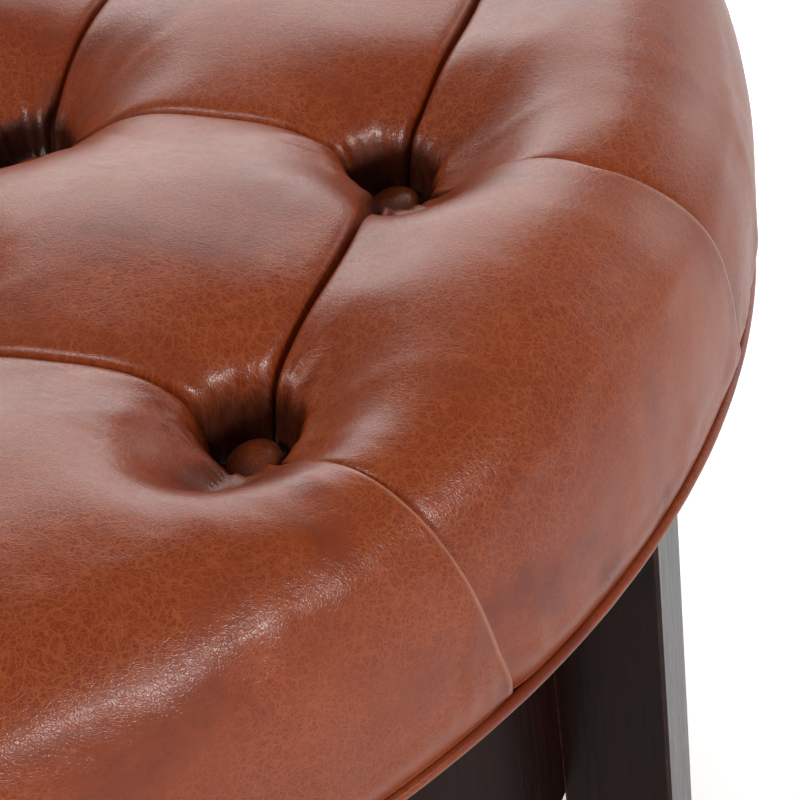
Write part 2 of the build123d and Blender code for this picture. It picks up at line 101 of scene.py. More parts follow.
class OttomanFinishSettings(bpy.types.PropertyGroup):
    """Colours of the leather and of the stained wood."""

    leather_dark: colour("Dark leather", "Darker clouds of the leather", 117, 42, 11)
    leather_light: colour("Light leather", "Lighter clouds of the leather", 140, 58, 19)
    leather_rust: colour("Rust leather", "Rust-brown mottle", 116, 39, 11)
    leather_mauve: colour("Mauve leather", "Dull mauve mottle", 104, 42, 26)
    leather_vein: colour("Leather veins", "Light creases where the leather is stretched", 182, 92, 42)
    leather_crack: colour("Leather cracks", "Dark creases between the stretched places", 74, 26, 10)
    # painted highlight: the light colour along the fold of each shoulder pleat
    leather_edge_highlight: colour("Pleat edge", "Light edge of each shoulder pleat", 196, 132, 98)
    # painted shade: the dark colour on the steep walls of the pits and under the buttons
    leather_pit_shade: colour("Pit leather", "Shaded leather on the walls of the pits", 42, 13, 5)
    wood_dark: colour("Dark wood", "Dark grain of the stained wood", 9, 3, 2)
    wood_light: colour("Light wood", "Light grain of the stained wood", 40, 13, 7)
    wood_worn: colour("Worn wood", "Rubbed edges of the stained wood", 104, 62, 46)


class OttomanStageSettings(bpy.types.PropertyGroup):
    """Camera, lights and floor."""

    lens: bpy.props.FloatProperty(
        name="Lens", description="Focal length on a 36 mm sensor", default=106.396)
    key_power: bpy.props.FloatProperty(
        name="Key power", description="Power of the lamp on the left", default=25.0, unit="POWER")
    strip_power: bpy.props.FloatProperty(
        name="Strip power", description="Power of the low strip lamp in front", default=27.0, unit="POWER")
    fill_power: bpy.props.FloatProperty(
        name="Fill power", description="Power of the lamp behind", default=42.0, unit="POWER")
    world_level: bpy.props.FloatProperty(
        name="World level", description="Strength of the sky over the white horizon", default=0.22)


# Noise, seeded and the same on every run

def lattice(ix, iy, iz, seed):
    """Return a repeatable value from 0 to 1 for each lattice point."""
    h = (ix * 374761393 + iy * 668265263 + iz * 2147483647 + seed * 1274126177) & 0xFFFFFFFF
    h = ((h ^ (h >> 13)) * 1103515245 + 12345) & 0xFFFFFFFF
    h = ((h ^ (h >> 16)) * 2246822519) & 0xFFFFFFFF
    h = h ^ (h >> 15)
    return (h & 0xFFFFFF) / float(0xFFFFFF)


def noise(x, y, z=0.0, seed=0):
    """Smooth value noise from -1 to 1 on arrays."""
    x, y, z = np.broadcast_arrays(np.asarray(x, float), np.asarray(y, float), np.asarray(z, float))
    fx, fy, fz = np.floor(x), np.floor(y), np.floor(z)
    ix, iy, iz = fx.astype(np.int64), fy.astype(np.int64), fz.astype(np.int64)
    u, v, w = x - fx, y - fy, z - fz
    u, v, w = (q * q * q * (q * (q * 6 - 15) + 10) for q in (u, v, w))
    total = 0.0
    for a in (0, 1):
        for b in (0, 1):
            for c in (0, 1):
                weight = (u if a else 1 - u) * (v if b else 1 - v) * (w if c else 1 - w)
                total = total + weight * lattice(ix + a, iy + b, iz + c, seed)
    return 2 * total - 1


def smooth(x):
    """Smoothstep of values clipped to 0..1."""
    x = np.clip(x, 0, 1)
    return x * x * (3 - 2 * x)


# Sizes of the tufting, in metres where no unit is named

SHOULDER_RISE = 0.037  # widest place of the border over the piping
SHOULDER_POWER = 2.57  # squareness of the shoulder's arc; 2 is round
CROWN_FALL = 0.0015  # fall of the crown towards the shoulder
FOOT_TUCK, FOOT_RISE = 0.0046, 0.0028  # where the border lands on the piping
FOOT_CURVE = 2.8  # how late the border draws in
SLOPE_STEP = 0.002  # step over which the border's normal is taken

LIP_SHARE, LIP_WIDTH = 0.10, 0.035  # sharp part of a crease, in shares of its depth and width
SLIT_WIDTH = 0.0008
CREASE_VARIATION = 0.05  # share by which creases differ in depth
CREASE_BOWS = {  # sideways bow of the three creases that the photograph shows bowed
    ((2, -1), (2, 0)): 0.0105,
    ((2, 0), (2, 1)): 0.0095,
    ((1, 0), (1, 1)): 0.0035,
}
BOW_REACH = 0.042  # how far to each side a bow carries the leather along
PLEAT_END = 0.85  # share of an edge pleat's run at which its groove ends
PLEAT_NARROW = 0.20  # width of a pleat's groove at its end, as a share of its width at the button
PLEAT_DEEP, PLEAT_SHALLOW = 0.73, 0.08  # its depth in shares of the crease depth
PLEAT_TURNS = {  # share of the run and turn in degrees of the two edge pleats that the photograph shows
    (2, -1): ((0, 0.2, 0.43, 1), (0, -1.2, -0.1, 2.75)),
    (2, 0): ((0, 0.1, 0.25, 0.4, 0.52, 0.65, 0.8, 1), (0, -1.6, -2.8, -2.8, -2.0, -1.0, -0.1, 1.0)),
}

DIMPLE_DEPTH, DIMPLE_RADIUS = 0.012, 0.075  # wide fall of the leather towards each button
PIT_DEPTH, PIT_RADIUS, PIT_EDGE = 0.058, 0.0145, 0.0024  # steep pit in its middle
PIT_FOLD = 0.0015  # how far the folds of a pit's wall stand in or out
SEAT_BLEND = 0.004  # rounding between a pit's wall and its seat
INNER_HOLLOW = (0.037, 0.049)  # depth and width
OUTER_HOLLOWS = ((0.0336, 0.043, 0.0165, 0.0), (0.030, 0.025, 0.034, -1.10))  # also shift out and turn

# Heights of the irregularities of the leather
LUMP, RIPPLE, PUCKER, SWELL, PULL, DRAPE, CRINKLE = 0.0007, 0.0003, 0.0019, 0.0012, 0.0006, 0.0007, 0.0002

OVERLAP_UP, OVERLAP_DOWN, OVERLAP_WIDTH = 0.0022, 0.0012, 0.010  # step at each edge pleat
HIGHLIGHT_EDGE_PLACE, HIGHLIGHT_EDGE_WIDTH = 0.0012, 0.0009  # thin painted highlight beside it

DARK_STEP = 0.0015  # step over which the slope is taken where painted shade darkens the leather
DARK_SLOPE, DARK_SLOPE_SPAN = 0.9, 1.2  # slope at which painted shade begins on a wall, and on to full shade
DARK_WALL, DARK_WALL_SPAN = 0.025, 0.014  # the same for a wall's depth
DARK_FLOOR, DARK_FLOOR_SPAN = 0.047, 0.006  # and for the painted shade on the leather under a button

CLOTH_FRAMES = 20
SKIN = {  # settings of the cloth simulation
    "quality": 6, "mass": 0.25, "tension_stiffness": 18, "compression_stiffness": 18,
    "shear_stiffness": 6, "bending_stiffness": 2.0, "pin_stiffness": 1.0, "shrink_min": 0.0,
    "use_pressure": True, "uniform_pressure_force": 4.0,
}
HELD_DEPTH, HELD_DEPTH_SPAN = 0.010, 0.020  # depth from which the skin is held, and on to fully held
HELD_EDGE, HELD_EDGE_SPAN = 0.016, 0.010  # the same for the way to the lower edge
FOLD_LIMIT, FOLD_SHARE, SWELLING_SHARE = 0.002, 0.3, 0.25
EVENING_STEPS = 60  # rounds of smoothing that part the swelling from the folds

FOAM_GAP, FOAM_PIT_GAP = 0.006, 0.014  # foam below the leather, and further below it at the pits
BOARD_TOP = 0.3506  # the foam goes no lower
# The turned-in edges of the cover and of the piping, as radius and height
HEM = ((0.4490, 0.33115), (0.4330, 0.33070), (0.4325, 0.33195), (0.2200, 0.33195))
PIPING_TAIL = ((0.4500, 0.32945), (0.4331, 0.32945), (0.4331, 0.33055), (0.4500, 0.33055))
WELD_STEP = 2e-5  # flat points nearer than this are one


# Layout of the tufts

def tuft_places():
    """Grid crossings with a button."""
    return [(i, j) for i in range(-2, 3) for j in range(-2, 3) if i * i + j * j <= 5]


def outer_places():
    """The twelve buttons that an edge pleat starts from, by azimuth."""
    ring = [p for p in tuft_places() if p[0] ** 2 + p[1] ** 2 >= 4]
    return sorted(ring, key=lambda p: math.atan2(p[1], p[0]) % (2 * math.pi))


def crease_segments():
    """Grid segments between neighbouring buttons."""
    places = set(tuft_places())
    found = []
    for i, j in sorted(places):
        for di, dj in ((1, 0), (0, 1)):
            if (i + di, j + dj) in places:
                found.append(((i, j), (i + di, j + dj)))
    return found


class Cushion:
    """The border profile, the flat pattern and the tufting of the cushion."""

    def __init__(self, settings):
        self.set = settings
        self.pitch = settings.tuft_spacing
        self.rng = np.random.default_rng(settings.seed)
        self.build_profile()
        self.pleats = []
        for place in outer_places():
            azimuth = math.atan2(place[1], place[0])
            bow, turn = self.rng.uniform(0.5, 1.8), self.rng.uniform(-0.5, 2.8)
            path = PLEAT_TURNS.get(place, ((0, 0.22, 0.45, 1), (0, -bow, -0.4 * bow, turn)))
            self.pleats.append((place, azimuth, *path))
        self.bows = [CREASE_BOWS.get(ends, self.rng.uniform(-0.002, 0.002)) for ends in crease_segments()]

    def build_profile(self):
        """Half section from the centre over the shoulder down to the piping."""
        s = self.set
        crown, bulge, low = s.crown_radius, s.bulge_radius, s.piping_height
        shoulder_z = low + SHOULDER_RISE
        crown_z = s.seat_height - CROWN_FALL
        r = np.linspace(0, crown, 400)
        z = s.seat_height - (s.seat_height - crown_z) * (r / crown) ** 2
        points = [np.stack([r, z], 1)]
        angle = np.linspace(math.pi / 2, 0, 300)[1:]
        power = 2 / SHOULDER_POWER
        points.append(np.stack([
            crown + (bulge - crown) * np.cos(angle) ** power,
            shoulder_z + (crown_z - shoulder_z) * np.sin(angle) ** power], 1))
        down = np.linspace(0, 1, 120)[1:]
        foot_r, foot_z = bulge - FOOT_TUCK, low + FOOT_RISE
        points.append(np.stack([
            bulge - (bulge - foot_r) * down ** FOOT_CURVE,
            shoulder_z + (foot_z - shoulder_z) * down], 1))
        line = np.concatenate(points)
        run = np.concatenate([[0], np.cumsum(np.hypot(*np.diff(line, axis=0).T))])
        self.line, self.run = line, run
        self.reach = run[-1]

    def base(self, s):
        """Radius, height and outward normal at run s."""
        r, z = self.profile(s)
        ra, za = self.profile(np.clip(s - SLOPE_STEP, 0, self.reach))
        rb, zb = self.profile(np.clip(s + SLOPE_STEP, 0, self.reach))
        size = np.hypot(rb - ra, zb - za)
        return r, z, -(zb - za) / size, (rb - ra) / size

    def profile(self, s):
        """Radius and height of the untufted form at run s."""
        return [np.interp(s, self.run, column) for column in self.line.T]

    def pleat_run(self, pleat, s):
        """Run at which an edge pleat starts, and the share of its way that run s has gone."""
        start = math.hypot(*pleat[0]) * self.pitch
        return start, np.clip((s - start) / (self.reach - start), 0, 1)

    def pleat_azimuth(self, pleat, s):
        """Azimuth of an edge pleat at run s."""
        azimuth, shares, turns = pleat[1:]
        return azimuth + np.radians(np.interp(self.pleat_run(pleat, s)[1], shares, turns))

    def depth(self, x, y):
        """How far the leather lies below the untufted form at flat points x, y."""
        pitch, mid, slit_depth = self.pitch, self.set.crease_depth, self.set.slit_depth
        s = np.hypot(x, y)
        phi = np.arctan2(y, x)
        r = self.base(s)[0]
        half = pitch / 2
        total, slit = np.zeros_like(x), np.zeros_like(x)
        for index, ((ai, aj), (bi, bj)) in enumerate(crease_segments()):
            ax, ay, bx, by = ai * pitch, aj * pitch, bi * pitch, bj * pitch
            t = np.clip(((x - ax) * (bx - ax) + (y - ay) * (by - ay)) / pitch ** 2, 0, 1)
            d = np.hypot(x - ax - t * (bx - ax), y - ay - t * (by - ay))
            amp = mid * (1 + CREASE_VARIATION * math.sin(index * 2.4))
            total += (amp * self.trough(d / half)) ** 2
            slit = np.maximum(slit, slit_depth * np.exp(-d / SLIT_WIDTH))
        for pleat in self.pleats:
            place = pleat[0]
            start, share = self.pleat_run(pleat, s)
            off = (phi - self.pleat_azimuth(pleat, s) + math.pi) % (2 * math.pi) - math.pi
            d = np.where(s < start, np.hypot(x - place[0] * pitch, y - place[1] * pitch), np.abs(off) * r)
            inner = np.clip(1 - share / PLEAT_END, 0, 1)
            width = half * (PLEAT_NARROW + (1 - PLEAT_NARROW) * inner ** 0.7)
            amp = mid * (PLEAT_DEEP * inner ** 1.6 + PLEAT_SHALLOW)
            total += np.where(np.abs(off) < 1.2, (amp * self.trough(d / width)) ** 2, 0)
            slit = np.maximum(slit, slit_depth * inner ** 1.5 * np.exp(-d / SLIT_WIDTH))
        for i, j in tuft_places():
            total += self.pit(x, y, i, j)
        depth = np.sqrt(total) + slit
        seat = self.set.seat_height - self.set.button_seat
        h = np.clip(0.5 + 0.5 * (seat - depth) / SEAT_BLEND, 0, 1)
        return seat * (1 - h) + depth * h - SEAT_BLEND * h * (1 - h) * 0.5

    def pit(self, x, y, i, j):
        """Square of the depth of the dimple and the steep pit round one button."""
        dx, dy = x - i * self.pitch, y - j * self.pitch
        d = np.hypot(dx, dy)
        theta = np.arctan2(dy, dx)
        fold = noise(np.cos(theta) * 3.4 + 7 * i + 31, np.sin(theta) * 3.4 + 5 * j + 31, seed=13)
        d = d + PIT_FOLD * (1 - 2 * np.abs(fold) ** 0.75) * smooth((d - 0.010) / 0.006)
        dimple = DIMPLE_DEPTH * np.clip(1 - d / DIMPLE_RADIUS, 0, 1) ** 1.5
        pit = (dimple + PIT_DEPTH / (1 + np.exp(np.minimum((d - PIT_RADIUS) / PIT_EDGE, 50)))) ** 2
        if math.hypot(i, j) < 2:
            return pit + (INNER_HOLLOW[0] * np.exp(-(d / INNER_HOLLOW[1]) ** 2)) ** 2
        towards = math.atan2(j, i)
        for size, width, shift, turn in OUTER_HOLLOWS:
            cx = i * self.pitch + shift * math.cos(towards + turn)
            cy = j * self.pitch + shift * math.sin(towards + turn)
            pit = pit + (size * np.exp(-(np.hypot(x - cx, y - cy) / width) ** 2)) ** 2
        return pit

    @staticmethod
    def trough(t):
        """Cross section of a crease: 1 at t = 0, sloping gently out to 0 at t = 1."""
        t = np.clip(t, 0, 1)
        return (1 - LIP_SHARE) * (1 - t) ** 2 + LIP_SHARE * np.exp(-t / LIP_WIDTH)

    def relief(self, x, y):
        """Puckers, pulls and lumps on top of the tufting, in metres, outward."""
        s = np.hypot(x, y)
        phi = np.arctan2(y, x)
        out = LUMP * noise(x / 0.11, y / 0.11, seed=3)
        out += RIPPLE * noise(x / 0.045, y / 0.045, seed=5)
        for index, (i, j) in enumerate(tuft_places()):
            dx, dy = x - i * self.pitch, y - j * self.pitch
            d = np.hypot(dx, dy)
            theta = np.arctan2(dy, dx)
            c, q = np.cos(theta), np.sin(theta)
            fine = noise(c * 3.6 + 9 * index, q * 3.6, d / 0.05, seed=11)
            ridge = 1 - 2 * np.abs(fine) ** 0.75
            fade = smooth((d - 0.014) / 0.009) * smooth((0.062 - d) / 0.04)
            out += PUCKER * fade * ridge * (0.3 + 0.7 * smooth((0.042 - d) / 0.025))
            wide = noise(c * 1.9 + 5 * index, q * 1.9, d / 0.09, seed=17)
            fade = smooth((d - 0.016) / 0.02) * smooth((0.09 - d) / 0.06)
            out += SWELL * fade * (1 - 2 * np.abs(wide) ** 0.8)
        low = self.reach - s
        pull = noise(phi * 46, low / 0.07, seed=23)
        out += PULL * smooth((0.050 - low) / 0.05) * (1 - 2 * np.abs(pull) ** 0.8)
        long = noise(phi * 19, s / 0.16, seed=29)
        out += DRAPE * smooth((s - 0.37) / 0.05) * smooth(low / 0.02) * (0.5 - np.abs(long) ** 0.8)
        out += CRINKLE * noise(x / 0.012, y / 0.030, seed=31) * noise(x / 0.07, y / 0.07, seed=37)
        return out * smooth((low + 0.001) / 0.016)

    def bowed(self, x, y):
        """Flat points moved so that no crease runs quite straight."""
        pitch = self.pitch
        shift_x, shift_y = np.zeros_like(x), np.zeros_like(y)
        for ((ai, aj), (bi, bj)), bow in zip(crease_segments(), self.bows):
            along_x, along_y = bi - ai, bj - aj
            dx, dy = x - ai * pitch, y - aj * pitch
            t = np.clip((dx * along_x + dy * along_y) / pitch, 0, 1)
            off = dx * along_y + dy * along_x
            amount = bow * np.sin(math.pi * t) ** 1.3 * np.exp(-(off / BOW_REACH) ** 2)
            shift_x += amount * along_y
            shift_y += amount * along_x
        return x + shift_x, y + shift_y

    def place(self, x, y, lift):
        """Points in the row frame for flat points x, y at a height over the untufted form."""
        x, y = self.bowed(x, y)
        s = np.hypot(x, y)
        phi = np.arctan2(y, x) + self.set.grid_turn
        r, z, nr, nz = self.base(s)
        r = r + nr * lift
        z = z + nz * lift
        return np.stack([r * np.cos(phi), r * np.sin(phi), z], -1)


def spread(count, share=0.35):
    """Shares from 0 to 1, close together at both ends."""
    tau = np.linspace(0, 1, count // 2 + 1)
    half = (share * tau + (1 - share) * tau ** 2) / 2
    return np.concatenate([half, 1 - half[::-1][1:]])


def flat_patches(cushion, fine):
    """Grids of flat points whose edges follow every crease and pleat."""
    pitch = cushion.pitch
    patches = []
    across = spread(fine)
    places = set(tuft_places())
    for i in range(-2, 2):
        for j in range(-2, 2):
            if {(i, j), (i + 1, j), (i, j + 1), (i + 1, j + 1)} <= places:
                u, v = np.meshgrid(across, across, indexing="ij")
                patches.append(((i + u) * pitch, (j + v) * pitch))
    count = fine + fine // 4
    tau = np.linspace(0, 1, count + 1)
    radial = 0.42 * tau + 0.58 * (0.75 * tau ** 2 * (3 - 2 * tau) + 0.25 * tau)
    pleats = cushion.pleats
    for index, first in enumerate(pleats):
        second = pleats[(index + 1) % len(pleats)]
        (ai, aj), (bi, bj) = first[0], second[0]
        if abs(ai - bi) + abs(aj - bj) == 1:
            u = across
            inner = [(ai + u * (bi - ai)) * pitch, (aj + u * (bj - aj)) * pitch]
        else:
            ki = ai if abs(ai) < abs(bi) else bi
            kj = aj if abs(aj) < abs(bj) else bj
            u = np.concatenate([across / 2, 0.5 + across[1:] / 2])
            first_leg = [(ai + 2 * u * (ki - ai)), (aj + 2 * u * (kj - aj))]
            second_leg = [(ki + (2 * u - 1) * (bi - ki)), (kj + (2 * u - 1) * (bj - kj))]
            inner = [np.where(u <= 0.5, f, g) * pitch for f, g in zip(first_leg, second_leg)]
        sides = []
        for pleat in (first, second):
            start = math.hypot(*pleat[0]) * pitch
            s = start + (cushion.reach - start) * radial
            azimuth = cushion.pleat_azimuth(pleat, s)
            sides.append([s * np.cos(azimuth), s * np.sin(azimuth)])
        a0 = cushion.pleat_azimuth(first, cushion.reach)
        a1 = cushion.pleat_azimuth(second, cushion.reach)
        if a1 < a0:
            a1 += 2 * math.pi
        arc = a0 + (a1 - a0) * u
        outer = [cushion.reach * np.cos(arc), cushion.reach * np.sin(arc)]
        uu, vv = np.meshgrid(u, radial, indexing="ij")
        grids = []
        for k in (0, 1):
            left, right = sides[0][k][None, :], sides[1][k][None, :]
            low, high = inner[k][:, None], outer[k][:, None]
            corners = (
                (1 - uu) * (1 - vv) * inner[k][0] + uu * (1 - vv) * inner[k][-1]
                + (1 - uu) * vv * outer[k][0] + uu * vv * outer[k][-1])
            grids.append((1 - vv) * low + vv * high + (1 - uu) * left + uu * right - corners)
        patches.append(grids)
    return patches


def flat_points(patches):
    """All flat points of the patches in one list."""
    return np.concatenate([np.stack([x, y], -1).reshape(-1, 2) for x, y in patches])


def patch_mesh(grids):
    """Join grids of points into one list of points and faces."""
    verts, quads, start = [], [], 0
    for p in grids:
        nu, nv = p.shape[:2]
        index = start + np.arange(nu * nv).reshape(nu, nv)
        verts.append(p.reshape(-1, 3))
        a, b = index[:-1, :-1].ravel(), index[1:, :-1].ravel()
        c, d = index[1:, 1:].ravel(), index[:-1, 1:].ravel()
        quads.append(np.stack([a, b, c, d], 1))
        start += nu * nv
    return np.concatenate(verts), np.concatenate(quads)


def weld(flat):
    """First vertex at each flat point, and for each vertex the number of its point."""
    grid = np.round(flat / WELD_STEP).astype(np.int64)
    first, point = np.unique(grid, axis=0, return_index=True, return_inverse=True)[1:]
    return first, point.ravel()


def new_mesh(name, verts, faces, smooth_shading=True):
    """Make an object from arrays of points and faces."""
    mesh = bpy.data.meshes.new(name)
    mesh.from_pydata([tuple(map(float, v)) for v in verts], [], [tuple(map(int, f)) for f in faces])
    mesh.validate(clean_customdata=False)
    if smooth_shading:
        mesh.polygons.foreach_set("use_smooth", [True] * len(mesh.polygons))
    mesh.update()
    obj = bpy.data.objects.new(name, mesh)
    bpy.context.scene.collection.objects.link(obj)
    return obj


def add_attribute(obj, name, values):
    """Store one number or vector for each vertex."""
    values = np.asarray(values, np.float32)
    kind = "FLOAT_VECTOR" if values.ndim == 2 else "FLOAT"
    field = "vector" if values.ndim == 2 else "value"
    attribute = obj.data.attributes.new(name, kind, "POINT")
    attribute.data.foreach_set(field, values.ravel())


# Materials

class Nodes:
    """Short hand for building a node tree."""

    def __init__(self, owner, out="ShaderNodeOutputMaterial", shader="ShaderNodeBsdfPrincipled"):
        owner.use_nodes = True
        self.owner, self.tree = owner, owner.node_tree
        self.tree.nodes.clear()
        self.shader = self.node(shader)
        self.node(out, {0: self.shader.outputs[0]})

    def node(self, kind, inputs=None, **settings):
        """Add a node; an input is a value, or the output that feeds it."""
        made = self.tree.nodes.new(kind)
        for key, value in settings.items():
            setattr(made, key, value)
        self.fill(made, inputs or {})
        return made

    def fill(self, node, inputs):
        for key, value in inputs.items():
            if isinstance(value, bpy.types.NodeSocket):
                self.tree.links.new(value, node.inputs[key])
            else:
                node.inputs[key].default_value = value

    def dress(self, inputs):
        """Fill the inputs of the shader itself."""
        self.fill(self.shader, inputs)
        return self.owner

    def level(self, attribute):
        return self.node("ShaderNodeAttribute", attribute_name=attribute).outputs["Fac"]

    def coords(self, attribute=None, scale=(1, 1, 1)):
        if attribute:
            place = self.node("ShaderNodeAttribute", attribute_name=attribute).outputs["Vector"]
        else:
            place = self.node("ShaderNodeTexCoord").outputs["Object"]
        return self.node("ShaderNodeMapping", {"Vector": place, "Scale": scale}).outputs[0]

    def noise(self, vector, scale, detail=3.0, rough=0.5, distortion=0.0):
        return self.node("ShaderNodeTexNoise", {
            "Vector": vector, "Scale": scale, "Detail": detail, "Roughness": rough,
            "Distortion": distortion}).outputs[0]

    def voronoi(self, vector, scale, feature="DISTANCE_TO_EDGE"):
        return self.node(
            "ShaderNodeTexVoronoi", {"Vector": vector, "Scale": scale}, feature=feature).outputs[0]

    def veins(self, vector, scale, width):
        """Thin wandering lines where a noise passes its middle value."""
        off = self.math("ABSOLUTE", self.math("SUBTRACT", self.noise(vector, scale, 3.0, 0.55), 0.5))
        return self.remap(off, 0.0, width, 1.0, 0.0)

    def remap(self, value, a, b, c=0.0, d=1.0):
        return self.node("ShaderNodeMapRange", {
            "Value": value, "From Min": a, "From Max": b, "To Min": c, "To Max": d}).outputs[0]

    def math(self, kind, a, b=0.5):
        return self.node("ShaderNodeMath", {0: a, 1: b}, operation=kind).outputs[0]

    def mix(self, share, a, b):
        return self.node(
            "ShaderNodeMix", {"Factor": share, "A": a, "B": b}, data_type="RGBA").outputs["Result"]

    def bump(self, height, strength=1.0, distance=0.001, normal=None):
        inputs = {"Strength": strength, "Distance": distance, "Height": height}
        if normal is not None:
            inputs["Normal"] = normal
        return self.node("ShaderNodeBump", inputs).outputs[0]

    def warp(self, vector, scale, amount):
        """Push the places about by a noise."""
        push = self.node("ShaderNodeTexNoise", {"Vector": vector, "Scale": scale, "Detail": 2.0})
        middle = (0.5, 0.5, 0.5)
        push = self.node(
            "ShaderNodeVectorMath", {0: push.outputs["Color"], 1: middle}, operation="SUBTRACT")
        push = self.node("ShaderNodeVectorMath", {0: push.outputs[0], "Scale": amount}, operation="SCALE")
        return self.node("ShaderNodeVectorMath", {0: vector, 1: push.outputs[0]}, operation="ADD").outputs[0]


def leather_material(name, attribute, strength=1.0):
    """Waxed pull-up leather: a fine network of creases, lighter where it is stretched."""
    n = Nodes(bpy.data.materials.new(name))
    tone = bpy.context.scene.ottoman_finish
    flat = n.coords(attribute)
    cloud = n.noise(flat, 7.0, 4.0, 0.6)
    mottle = n.noise(flat, 34.0, 5.0, 0.65)
    zone = n.noise(flat, 13.0, 4.0, 0.62, 0.6)
    bent = n.warp(n.warp(flat, 45.0, 0.020), 300.0, 0.0035)
    large = n.voronoi(bent, 230.0)
    small = n.voronoi(n.warp(n.coords(attribute, (1.0, 1.6, 1.0)), 110.0, 0.010), 560.0)
    large_line = n.remap(large, 0.0, 0.085, 1.0, 0.0)
    small_line = n.remap(small, 0.0, 0.15, 1.0, 0.0)
    streak = n.veins(n.warp(flat, 40.0, 0.012), 55.0, 0.010)
    lines = n.math("MAXIMUM", n.math("MAXIMUM", large_line, streak), n.math("MULTIPLY", small_line, 0.75))
    base = n.mix(n.remap(cloud, 0.32, 0.68), tone.leather_dark, tone.leather_light)
    base = n.mix(n.math("MULTIPLY", n.remap(mottle, 0.36, 0.66), 0.42), base, tone.leather_rust)
    base = n.mix(n.math("MULTIPLY", n.remap(mottle, 0.58, 0.70), 0.12), base, tone.leather_mauve)
    base = n.mix(n.math("MULTIPLY", lines, n.remap(zone, 0.36, 0.54, 0.06, 0.48)), base, tone.leather_vein)
    base = n.mix(n.math("MULTIPLY", lines, n.remap(zone, 0.45, 0.34, 0.0, 0.42)), base, tone.leather_crack)
    if attribute:
        # painted shade in the pits and under the buttons
        base = n.mix(n.math("MULTIPLY", n.level("deep"), 0.88), base, tone.leather_pit_shade)
        # painted highlight along the fold of each edge pleat
        base = n.mix(n.math("MULTIPLY", n.level("edge"), 0.55), base, tone.leather_edge_highlight)
    rough = n.math("ADD", n.remap(mottle, 0.3, 0.7, 0.31, 0.38), n.math("MULTIPLY", lines, 0.12))
    grain = n.voronoi(n.warp(flat, 500.0, 0.001), 1500.0, "F1")
    soft = n.noise(n.coords(attribute, (1.0, 2.0, 1.0)), 60.0, 3.0, 0.5, 0.4)
    crease = n.noise(n.warp(n.coords(attribute, (1.0, 2.2, 1.0)), 60.0, 0.012), 620.0, 3.0, 0.6)
    bump = n.bump(soft, 0.08 * strength, 0.0012)
    bump = n.bump(n.remap(large, 0.0, 0.10), 0.08 * strength, 0.00030, bump)
    bump = n.bump(n.remap(small, 0.0, 0.16), 0.22 * strength, 0.00016, bump)
    bump = n.bump(crease, 0.16 * strength, 0.00020, bump)
    bump = n.bump(grain, 0.10 * strength, 0.00012, bump)
    return n.dress({
        "Base Color": base, "Roughness": rough, "Coat Weight": 0.35, "Coat Roughness": 0.19,
        "Specular IOR Level": 0.24, "Normal": bump, "Coat Normal": bump})


def worn_edge(n, radius=0.0025):
    """Share that is high on the edges of a hard piece."""
    bevel = n.node("ShaderNodeBevel", {"Radius": radius}, samples=6)
    face = n.node("ShaderNodeNewGeometry").outputs["Normal"]
    dot = n.node("ShaderNodeVectorMath", {0: bevel.outputs[0], 1: face}, operation="DOT_PRODUCT")
    return n.remap(dot.outputs["Value"], 0.99, 0.86)


def wood_material(name, dark, light, worn, gloss, grain=(1, 1, 0.06), lacquer=0.0):
    """Stained timber with grain along its low-frequency axis and rubbed edges."""
    n = Nodes(bpy.data.materials.new(name))
    line = n.coords(None, grain)
    rings = n.noise(line, 210.0, 5.0, 0.62, 1.2)
    pores = n.noise(line, 900.0, 2.0, 0.5)
    broad = n.noise(n.coords(), 12.0, 3.0, 0.5)
    pore = (*[part * 0.35 for part in dark[:3]], 1.0)
    colour = n.mix(n.remap(rings, 0.30, 0.72), dark, light)
    colour = n.mix(n.math("MULTIPLY", n.remap(pores, 0.60, 0.72), 0.6), colour, pore)
    colour = n.mix(n.math("MULTIPLY", n.remap(broad, 0.4, 0.7), 0.3), colour, light)
    edge = n.math("MULTIPLY", worn_edge(n), n.remap(n.noise(n.coords(), 70.0, 4.0, 0.6), 0.38, 0.62))
    colour = n.mix(n.math("MULTIPLY", edge, 0.75), colour, worn)
    bump = n.bump(rings, 0.05, 0.0003)
    return n.dress({
        "Base Color": colour, "Roughness": n.remap(rings, 0.3, 0.7, gloss - 0.06, gloss + 0.12),
        "Normal": n.bump(pores, 0.1, 0.0002, bump), "Specular IOR Level": 0.07,
        "Coat Weight": lacquer, "Coat Roughness": 0.22, "Coat IOR": 1.17})


def metal_material(name, colour, rough):
    """Plated or turned metal with faint scratches."""
    n = Nodes(bpy.data.materials.new(name))
    cloud = n.noise(n.coords(), 140.0, 4.0, 0.6)
    lines = n.noise(n.coords(None, (1, 8, 1)), 700.0, 3.0, 0.6)
    dull = (*[part * 0.72 for part in colour[:3]], 1.0)
    return n.dress({
        "Base Color": n.mix(n.remap(cloud, 0.35, 0.7), colour, dull), "Metallic": 1.0,
        "Roughness": n.remap(lines, 0.3, 0.7, rough - 0.06, rough + 0.10),
        "Normal": n.bump(lines, 0.15, 0.0002)})


def cloth_material(name, dark, light, count=1400.0, depth=0.0004, rough=0.85):
    """Woven or felted cloth."""
    n = Nodes(bpy.data.materials.new(name))
    warp_x, warp_y = (
        n.node("ShaderNodeTexWave", {"Vector": n.coords(), "Scale": count / 6.28, "Distortion": 1.5},
               wave_type="BANDS", bands_direction=axis).outputs["Fac"] for axis in "XY")
    fluff = n.noise(n.coords(), 260.0, 5.0, 0.7)
    weave = n.math("MULTIPLY", warp_x, warp_y)
    share = n.math("ADD", n.math("MULTIPLY", weave, 0.5), n.math("MULTIPLY", fluff, 0.5))
    return n.dress({
        "Base Color": n.mix(n.remap(share, 0.2, 0.8), dark, light), "Roughness": rough,
        "Sheen Weight": 0.2, "Normal": n.bump(share, 0.5, depth)})


